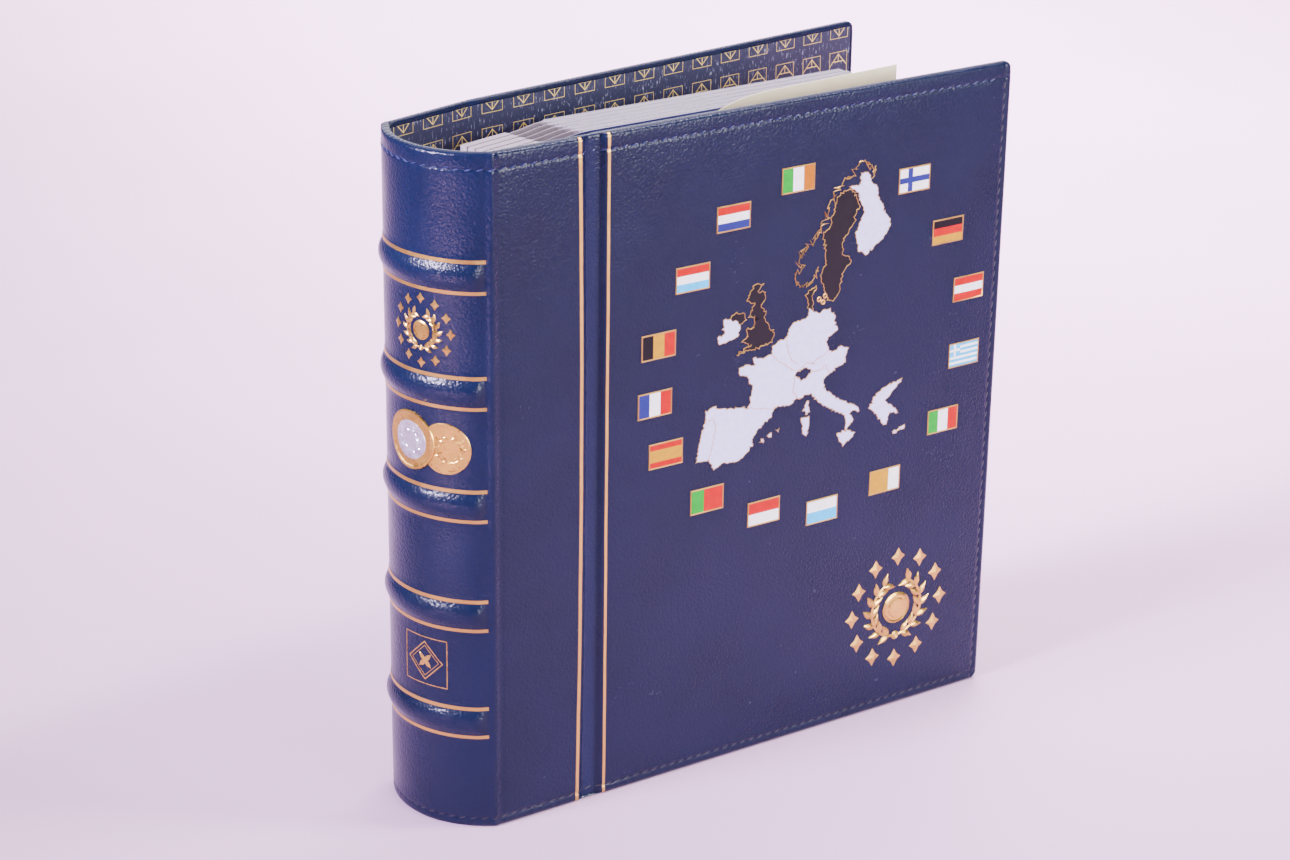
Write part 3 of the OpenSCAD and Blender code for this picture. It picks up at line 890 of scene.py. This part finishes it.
ISLANDS = [
    [(149, 152), (150, 149), (149, 146), (147, 148)],
    [(146, 145), (150, 145), (150, 140), (149, 137), (147, 138)],
    [(165, 134), (170, 135), (174, 133), (173, 131), (170, 130), (168, 128), (166, 131)],
    [(194, 129), (200, 131), (200, 129.5), (194, 128)],
    [(125, 139), (127, 140), (127, 138.5)],
    [(129, 141), (131, 142), (131, 140)],
    [(133, 142.5), (135, 143), (134.5, 141.5)],
]
BORDERS = [
    [(119, 155), (125, 154), (131, 152), (134, 153)],
    [(98, 154), (102, 154), (103, 150), (102, 143), (100, 137)],
    [(130, 176), (134, 172), (138, 169), (142, 167)],
    [(137, 182), (138, 176), (140, 172), (143, 169)],
    [(142, 164), (141, 158), (144, 154)],
    [(150, 165), (154, 164), (157, 166), (160, 162)],
    [(150, 168), (155, 170), (159, 172)],
    [(143, 166), (148, 169), (152, 167)],
]


def coast(outline, reach=1.2, part=0.8, rate=1.1, closed=True):
    """An outline with a small, repeatable raggedness along it."""
    out = []
    ends = outline[1:] + outline[:1] if closed else outline[1:]
    for (x0, z0), (x1, z1) in zip(outline, ends):
        count = max(1, round(math.hypot(x1 - x0, z1 - z0) / part))
        for k in range(count):
            x, z = x0 + (x1 - x0) * k / count, z0 + (z1 - z0) * k / count
            push = Vector((x * rate, z * rate, 3.7))
            wobble = reach if k else reach * 0.4
            x += wobble * noise.noise(push)
            out.append((x, z + wobble * noise.noise(push + Vector((9, 9, 9)))))
    if not closed:
        out.append(outline[-1])
    return out


def shoreline(line, closed=True):
    country_map.band(line, 0.34, GOLD_LINE, top=0.26, closed=closed, round_top=True)


country_map = Artwork(front_cover)
for outline, index in (
    (FINLAND, WHITE), (SWEDEN, BLACK), (DENMARK, BLACK), (BRITAIN, BLACK), (IRELAND, WHITE),
    (ULSTER, BLACK), (GREECE, WHITE), *[(land, WHITE) for land in ISLANDS],
):
    shore = coast(outline)
    country_map.polygon(shore, index, ENAMEL_TOP)
    shoreline(shore)
shore, lake = coast(MAINLAND), coast(ALPS)
country_map.polygon(shore, WHITE, ENAMEL_TOP, holes=[lake])
for line in (shore, lake):
    shoreline(line)
shoreline(coast(NORWAY, 3.4, 0.6, 1.9, closed=False), closed=False)
for line in BORDERS:
    country_map.band(coast(line, 0.9, closed=False), 0.26, GOLD_LINE, top=0.22)
for centre in ((153, 195), (155, 193.5), (156, 196)):
    country_map.ring(centre, 0.5, 1.2, GOLD_LINE, top=0.25, sides=10)
map_white = enamel("map_white", linear(212, 204, 255))
map_black = enamel("map_black", linear(22, 18, 21))
map_piece = country_map.build("country_map", [map_white, map_black, gold_foil])
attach(map_piece, "front_cover")

# ---------------------------------------------------------------- flags
COLOURS = {
    "white": (255, 255, 255), "red": (176, 0, 4), "green": (0, 152, 36), "orange": (172, 98, 0),
    "blue": (36, 42, 112), "yellow": (186, 138, 0), "black": (16, 13, 15), "sky": (8, 184, 244),
}
NAMES = list(COLOURS)
# Place, direction of the stripes, their colours, and their widths
FLAGS = [
    (140.6, 247.5, "v", "green white orange", (1, 1, 1)),
    (199.5, 237.9, "cross", "white blue", (1,)),
    (109.6, 236.9, "h", "blue white red", (1, 1, 1)),
    (218.5, 212.8, "h", "yellow red black", (1, 1, 1)),
    (90.7, 215.3, "h", "sky white red", (1, 1, 1)),
    (231.2, 185.8, "h", "red white red", (1, 1, 1)),
    (75.0, 190.3, "v", "black yellow red", (1, 1, 1)),
    (230.6, 156.5, "canton", "sky white", (1,)),
    (73.6, 166.2, "v", "blue white red", (1, 1, 1)),
    (220.9, 128.6, "v", "green white red", (1, 1, 1)),
    (79.2, 144.0, "h", "red yellow red", (1, 2, 1)),
    (190.9, 107.7, "v", "yellow white", (5, 3)),
    (99.7, 119.7, "v", "green red", (2, 3)),
    (128.3, 107.8, "h", "white red", (1, 1)),
    (158.3, 101.6, "h", "sky white", (1, 1)),
]
FLAG_W, FLAG_H = 15.6, 10.2
STRIPE, ACROSS = 0.2, 0.24      # heights of a flag's stripes and of what lies across them


def block(art, x0, z0, x1, z1, index, top):
    art.polygon([(x0, z0), (x1, z0), (x1, z1), (x0, z1)], index, top)


flags = Artwork(front_cover)
for x, z, kind, colours, widths in FLAGS:
    x0, x1, z0, z1 = x - FLAG_W / 2, x + FLAG_W / 2, z - FLAG_H / 2, z + FLAG_H / 2
    tones = [NAMES.index(c) for c in colours.split()]
    if kind in "vh":
        total, done = sum(widths), 0
        for tone, width in zip(tones, widths):
            a, b = done / total, (done + width) / total
            done += width
            if kind == "v":
                block(flags, x0 + a * FLAG_W, z0, x0 + b * FLAG_W, z1, tone, STRIPE)
            else:
                block(flags, x0, z0 + a * FLAG_H, x1, z0 + b * FLAG_H, tone, STRIPE)
    elif kind == "cross":
        block(flags, x0, z0, x1, z1, tones[0], STRIPE)
        block(flags, x0, z - 1.2, x1, z + 1.2, tones[1], ACROSS)
        block(flags, x0 + 4.4, z0, x0 + 6.8, z1, tones[1], ACROSS + 0.01)
    else:
        for k in range(9):
            row = z0 + k * FLAG_H / 9
            block(flags, x0, row, x1, row + FLAG_H / 9, tones[k % 2], STRIPE)
        block(flags, x0, z1 - FLAG_H * 5 / 9, x0 + 5.7, z1, tones[0], ACROSS)
        block(flags, x0, z1 - 3.4, x0 + 5.7, z1 - 2.3, tones[1], ACROSS + 0.02)
        block(flags, x0 + 2.3, z1 - 5.6, x0 + 3.4, z1, tones[1], ACROSS + 0.03)
    rim = [(x0, z0), (x1, z0), (x1, z1), (x0, z1)]
    flags.band(rim, 0.6, len(NAMES), top=0.38, closed=True, round_top=True)
enamels = [enamel("enamel_" + n, linear(*COLOURS[n])) for n in NAMES]
flag_piece = flags.build("flags", enamels + [gold_foil])
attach(flag_piece, "front_cover")


# ---------------------------------------------------------------- raised gold ornaments
def pip(art, centre, height, angle, index, top):
    """A four-sided pyramid with hollow sides."""
    points, tops = [centre], [top]
    for k in range(8):
        r = height / 2 if k % 2 == 0 else height * 0.26
        squeeze = 0.86 if k % 4 == 2 else 1.0
        points.append(around(centre, r * squeeze, angle + k * math.pi / 4))
        tops.append(0.12)
    art.lay(points, [[0, 1 + k, 1 + (k + 1) % 8] for k in range(8)], tops, index)


def leaf_shape(art, root, angle, length, index, top, base=0.0):
    steps = np.linspace(0, 1, 6)
    line = [around(root, length * t, angle) for t in steps]
    art.dome(line, [0.06 * length * w for w in (0.8, 3.4, 4.2, 3.6, 2.0, 0.3)], index, top, base)


def wreath(art, centre, radius, index, top, base=0.0, pairs=7):
    """Two leafy branches that rise from the foot of a circle and stay open at its head."""
    for side in (-1, 1):
        turns = [math.radians(-90 + side * t) for t in np.linspace(0, 148, 30)]
        stem = [around(centre, radius, a) for a in turns]
        art.band(stem, radius * 0.09, index, top=base + top * 0.6, round_top=True)
        for k in range(pairs):
            a = math.radians(-90 + side * (16 + k * 132 / (pairs - 1)))
            root = around(centre, radius, a)
            heading = a + side * math.pi / 2
            for lean in (-0.75, 0.75):
                leaf_shape(art, root, heading + lean, radius * 0.47, index, top, base)
    foot = (centre[0], centre[1] - radius)
    art.ring(foot, radius * 0.04, radius * 0.15, index, top=base + top, sides=16)


BOSS = [(0, 1.3), (0.17, 1.2), (0.19, 0.6), (0.24, 0.6), (0.26, 1.1), (0.3, 0.4)]


def emblem(art, centre, radius, index, top):
    """Twelve pips in a circle around a wreath with a round boss in its middle."""
    for k in range(12):
        at = around(centre, radius, math.pi / 2 + k * math.pi / 6)
        pip(art, at, radius * 0.35, math.pi / 2, index, top)
    wreath(art, centre, radius * 0.55, index, top)
    art.turned(centre, BOSS, radius, top, index)


SQUARE = [(-1, -1), (1, -1), (1, 1), (-1, 1)]
DIAMOND = [(0, -1), (1, 0), (0, 1), (-1, 0)]


def along_edges(corners, count):
    """Points along a closed outline, count to an edge."""
    return [
        (a + (b - a) * k / count, c + (d - c) * k / count)
        for (a, c), (b, d) in zip(corners, corners[1:] + corners[:1])
        for k in range(count)
    ]


cover_emblem = Artwork(front_cover)
emblem(cover_emblem, (200.5, 46.5), 23.8, 0, 0.75)
emblem_piece = cover_emblem.build("cover_emblem", [cast_gold], smooth_angle=25)
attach(emblem_piece, "front_cover")

spine_art = Artwork(spine_face)
emblem(spine_art, (28.9, 208.6), 12.8, 0, 0.45)
# Two overlapping coins: an all-gold one behind, then one of two metals
COIN_RIM = [(0, 0.62), (0.8, 0.62), (0.86, 0.66), (0.9, 1.0), (0.98, 1.0), (1.0, 0.5)]
FRONT_COIN = (35.1, 162.7)
spine_art.turned((19.0, 162.2), COIN_RIM, 10.5, 0.4, 0)
spine_art.turned(FRONT_COIN, COIN_RIM, 12.0, 0.8, 0)
spine_art.turned(FRONT_COIN, [(0, 0.98), (0.9, 0.98), (0.97, 1.08), (1.0, 0.6)], 8.0, 0.6, 1)
wreath(spine_art, (17.0, 162.2), 5.4, 0, 0.22, 0.22, 5)
wreath(spine_art, FRONT_COIN, 4.6, 1, 0.2, 0.56, 5)
for k in range(32):
    a = 2 * math.pi * k / 32
    pip(spine_art, around(FRONT_COIN, 9.5, a), 1.0, a, 0, 0.68)
# A thin-lined square with a double diamond and a small four-leaf centre
cx, cz = 29.4, 70.5
for outline, count, size, width, top in (
    (SQUARE, 6, 10.2, 0.32, 0.1), (DIAMOND, 8, 8.2, 0.4, 0.12), (DIAMOND, 8, 6.5, 0.2, 0.12),
):
    line = [(cx + size * a, cz + size * b) for a, b in along_edges(outline, count)]
    spine_art.band(line, width, 0, top, closed=True)
for k in range(4):
    leaf_shape(spine_art, (cx, cz), math.pi / 4 + k * math.pi / 2, 4.0, 0, 0.2)
spine_piece = spine_art.build("spine_ornaments", [cast_gold, silver], smooth_angle=25)
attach(spine_piece, "spine")

# ---------------------------------------------------------------- leaves
LEAVES = sum(name.startswith("leaf_") for name in JOINTS)
WINDOW_COLS, WINDOW_ROWS, WINDOW_R = 4, 7, 13.0
FRAME_HALF = 1.5        # half a coin frame's thickness
LIP = 0.9               # from a binding's edge to the line its web folds on
CARD_GAP = 2.1          # from a leaf's middle to the middle of the gap behind it


def plan_box(node):
    lo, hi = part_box(node)
    shift = np.array([*CREASE_ROW, 0])
    return np.array(lo) * 1000 - shift, np.array(hi) * 1000 - shift


def half_frame(x0, x1, z0, z1, y_in, y_out):
    """One half of a coin frame: a plate whose round windows have softened rims."""
    work = bmesh.new()
    hx, hz = (x1 - x0) / (2 * WINDOW_COLS), (z1 - z0) / (2 * WINDOW_ROWS)
    sides, side = 32, 8
    out = math.copysign(1, y_out - y_in)
    rows = [(None, y_in), (WINDOW_R, y_in), (WINDOW_R, y_out - 0.35 * out)]
    rows += [(WINDOW_R + 0.1, y_out - 0.1 * out), (WINDOW_R + 0.35, y_out), (None, y_out)]
    for col in range(WINDOW_COLS):
        for row in range(WINDOW_ROWS):
            cx, cz = x0 + hx * (2 * col + 1), z0 + hz * (2 * row + 1)
            made = []
            for radius, y in rows:
                ring = []
                for k in range(sides):
                    a = 2 * math.pi * k / sides
                    if radius is None:
                        part = math.tan(a - round(a / (math.pi / 2)) * math.pi / 2)
                        quarter = round(a / (math.pi / 2)) % 4
                        u, v = ((1, part), (-part, 1), (-1, -part), (part, -1))[quarter]
                        p = (cx + hx * u, y, cz + hz * v)
                    else:
                        u, v = around((cx, cz), radius, a)
                        p = (u, y, v)
                    ring.append(work.verts.new(p))
                made.append(ring)
            for a, b in zip(made, made[1:]):
                for k in range(sides):
                    k2 = (k + 1) % sides
                    work.faces.new((a[k], a[k2], b[k2], b[k]))
    bmesh.ops.remove_doubles(work, verts=work.verts, dist=0.001)
    bmesh.ops.bridge_loops(work, edges=[e for e in work.edges if e.is_boundary])
    work.verts.index_update()
    verts = np.array([v.co for v in work.verts])
    faces = [[v.index for v in f.verts] for f in work.faces]
    work.free()
    return verts, faces


def upright_ribbon(path, thick, z0, z1):
    """A closed upright sheet along a path in the plan."""
    side = left_of(unit(np.gradient(path, axis=0))) * np.broadcast_to(thick, len(path))[:, None] / 2
    n = len(path)
    verts = [np.column_stack([path + k * side, np.full(n, z)]) for z in (z0, z1) for k in (-1, 1)]
    faces = []
    for k in range(n - 1):
        for a, b in ((0, 1), (1, 3), (3, 2), (2, 0)):
            faces.append([a * n + k, a * n + k + 1, b * n + k + 1, b * n + k])
    faces += [[0, n, 3 * n, 2 * n], [n - 1, 2 * n - 1, 4 * n - 1, 3 * n - 1]]
    return np.concatenate(verts), faces


def joined(parts):
    verts, faces, base = [], [], 0
    for v, f in parts:
        verts.append(v)
        faces += [[base + i for i in face] for face in f]
        base += len(v)
    return np.concatenate(verts), faces


def soften(obj, width, segments, degrees):
    bevel = obj.modifiers.new("Softened edges", "BEVEL")
    bevel.width, bevel.segments, bevel.limit_method = width, segments, "ANGLE"
    bevel.angle_limit = math.radians(degrees)


def sheet_object(name, parts, look):
    verts, faces = joined(parts)
    uvs = np.stack([(verts[:, 0] + verts[:, 1]) / 100, verts[:, 2] / 100], -1)
    return new_object(name, to_row(verts), faces, [look], uvs)


def web_path(start, tip):
    """A smooth curve that leaves a binding along it and arrives along the front cover."""
    t = np.linspace(0, 1, 26)[:, None]
    reach = np.linalg.norm(tip - start)
    h00, h10 = 2 * t**3 - 3 * t**2 + 1, t**3 - 2 * t**2 + t
    h01, h11 = -2 * t**3 + 3 * t**2, t**3 - t**2
    return h00 * start + h10 * reach * ALONG + h01 * tip + h11 * reach * np.array([1.0, 0.0])


def bend_at_web(obj, start, tip):
    way = (tip - start) / np.linalg.norm(tip - start)
    ends = [to_row([(*(start + way * reach), HEIGHT / 2)])[0] for reach in (-0.5, 7.0)]
    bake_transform(obj)


for n in range(1, LEAVES + 1):
    start = joint_at(f"leaf_{n}_web") - CREASE_ROW
    lo, hi = plan_box(f"leaf_{n}_front_film")[0], plan_box(f"leaf_{n}_back_film")[1]
    middle = (lo[1] + hi[1]) / 2
    tip = np.array([lo[0] + 0.2, middle])
    path = np.concatenate([[start - (LIP + 0.2) * ALONG], web_path(start, tip)])
    thick = 0.6 + 1.9 * smooth((np.linspace(0, 1, len(path)) - 0.84) / 0.16)
    parts = [upright_ribbon(path, thick, lo[2], hi[2])]
    for side in (-1, 1):
        y_in, y_out = middle + side * 0.05, middle + side * FRAME_HALF
        parts.append(half_frame(lo[0], hi[0], lo[2], hi[2], y_in, y_out))
    page = sheet_object(f"leaf_{n}_page", parts, page_look)
    soften(page, 0.00028, 2, 60)
    bend_at_web(page, start, tip)
    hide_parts(f"leaf_{n}_frame")

# A navy card lies behind the first leaf, bound in with it
start = joint_at("leaf_1_web") - CREASE_ROW - CARD_GAP * INWARD
lo, hi = plan_box("leaf_1_front_film")[0], plan_box("leaf_1_back_film")[1]
middle = (lo[1] + hi[1]) / 2 + CARD_GAP
tip = np.array([lo[0], middle])
bound = [start - reach * ALONG for reach in np.linspace(24.5, 1.0, 6)]
flat = [[x, middle] for x in np.linspace(lo[0] + 4, hi[0] + 1.2, 12)]
card_path = np.concatenate([bound, web_path(start, tip), flat])
card = sheet_object("divider_card", [upright_ribbon(card_path, 0.24, lo[2] - 1, hi[2] + 0.8)], card_look)
bend_at_web(card, joint_at("leaf_1_web") - CREASE_ROW, tip)

# A loose cream sheet stands in front of the first leaf, its upper left cut away in a soft curve
lo, hi = plan_box("index_sheet")
SHEET_RIGHT, SHEET_SHOULDER, SHEET_FOOT = hi[0] + 3, 150.0, 112.0
SHEET_CUT = 14          # how far the cut-away corner comes down
xs = np.linspace(lo[0], SHEET_RIGHT, 90)
cut = (SHEET_SHOULDER - xs) / (SHEET_SHOULDER - SHEET_FOOT)
tops = np.where(
    xs > SHEET_SHOULDER,
    hi[2] + 1.8 * (xs - SHEET_SHOULDER) / (SHEET_RIGHT - SHEET_SHOULDER),
    hi[2] - SHEET_CUT * (1 - np.sqrt(np.maximum(0, 1 - cut**2))),
)
rows = np.linspace(0, 1, 40)
grid_x = np.repeat(xs[:, None], len(rows), 1)
grid_z = lo[2] + (tops - lo[2])[:, None] * rows
curl = (lo[1] + hi[1]) / 2 + 0.5 * np.sin((grid_x - lo[0]) / 38) * rows**2 + 0.25 * np.sin(grid_z / 50)
layers = [np.stack([grid_x, curl + t, grid_z], -1).reshape(-1, 3) for t in (-0.12, 0.12)]
slab = (np.concatenate(layers), slab_faces(*grid_x.shape).tolist())
sheet = sheet_object("cream_sheet", [slab], paper_look)
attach(sheet, "leaf_1")
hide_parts("index_sheet")

# ---------------------------------------------------------------- CAD nodes that keep their shape
KEPT_LOOKS = {
    "board": board_look, "padding": foam_look, "film": film_look, "binding": binding_look,
}
for name, obj in frame["nodes"].items():
    ending = name.rsplit("_", 1)[-1]
    if ending == "binding":
        soften(obj, 0.0009, 3, 50)
    for slot in obj.material_slots:
        slot.material = KEPT_LOOKS.get(ending, steel_look)

# ---------------------------------------------------------------- floor, light and camera
FLOOR_REACH = 30.0
corners = [(x * FLOOR_REACH, y * FLOOR_REACH, 0) for x, y in SQUARE]
floor_mesh = bpy.data.meshes.new("floor")
floor_mesh.from_pydata(corners, [], [(0, 1, 2, 3)])
floor_look = Look("floor_paper", linear(216, 176, 208), 0.75, Specular_IOR_Level=0.2)
cloud = floor_look.span(floor_look.noise(floor_look.on_object(), 260, 2), 0.3, 0.7)
shades = tint(floor_look.colour, 0.97), tint(floor_look.colour, 1.02)
floor_look.feed("Base Color", floor_look.mix(cloud, *shades))
floor_mesh.materials.append(floor_look.material)
floor = placed("floor", floor_mesh)


def softbox(name, place, aim, size, watts, colour, spread_deg=180):
    """An oblong lamp at place that shines at aim."""
    data = bpy.data.lights.new(name, "AREA")
    data.shape, data.energy, data.color = "RECTANGLE", watts, colour
    data.size, data.size_y = size
    data.spread = math.radians(spread_deg)
    lamp = placed(name, data)
    lamp.location = place
    lamp.rotation_euler = (Vector(aim) - Vector(place)).to_track_quat("-Z", "Y").to_euler()


# A cool window on the left and soft light from above, behind and in front; the small, narrow ones
# brighten the floor on the left and the tops of the leaves
AIM = (0, 0, 0.13)
softbox("window", (-1.93, 0.1, 1.15), (0, 0.04, 0.24), (1.4, 0.16), 16.5, (0.78, 0.68, 1.0), 26)
softbox("overhead", (0.4, 1.0, 2.2), (0.5, 0.8, 0), (2.0, 2.0), 42, (0.95, 0.87, 1.0))
softbox("background", (0.8, 0.95, 1.0), (0.75, 0.95, 0), (1.6, 1.0), 56, (0.95, 0.84, 1.0), 90)
softbox("front_fill", (0.5, -2.2, 0.6), AIM, (1.6, 0.8), 114, (0.94, 0.91, 1.0))
softbox("table_light", (-0.95, -0.22, 0.9), (-0.68, -0.2, 0), (0.24, 0.16), 7.5, (1.0, 0.87, 0.92), 34)
softbox("far_wall", (0.95, 1.75, 0.85), (0, 0, 0.28), (2.2, 0.8), 18, (0.88, 0.86, 1.0))
softbox("top_light", (0.75, -0.6, 1.75), (0.03, 0, 0.3), (0.3, 0.3), 1.5, (1.0, 0.93, 1.0), 32)
world = bpy.data.worlds.new("studio")
world.use_nodes = True
surroundings = world.node_tree.nodes["Background"].inputs
surroundings["Color"].default_value = (0.9, 0.83, 1.0, 1)
surroundings["Strength"].default_value = 0.5
bpy.context.scene.world = world

# The camera stands to the left of the front cover and looks down at the fore-edge side
CAMERA_AT, LENS_MM = (-0.67478, -0.96738, 0.60514), 85.69
YAW, PITCH, ROLL = math.radians(34.4), math.radians(21.88), math.radians(0.81)
ahead = Vector((math.sin(YAW) * math.cos(PITCH), math.cos(YAW) * math.cos(PITCH), -math.sin(PITCH)))
level = Vector((math.cos(YAW), -math.sin(YAW), 0))
upward = level.cross(ahead)
right = level * math.cos(ROLL) + upward * math.sin(ROLL)
above = upward * math.cos(ROLL) - level * math.sin(ROLL)
camera_data = bpy.data.cameras.new("camera")
camera_data.lens, camera_data.sensor_width = LENS_MM, 36
camera_data.clip_start, camera_data.clip_end = 0.05, 50
camera = placed("camera", camera_data)
turn = Matrix((right, above, -ahead)).transposed().to_4x4()
camera.matrix_world = Matrix.Translation(CAMERA_AT) @ turn
bpy.context.scene.camera = camera
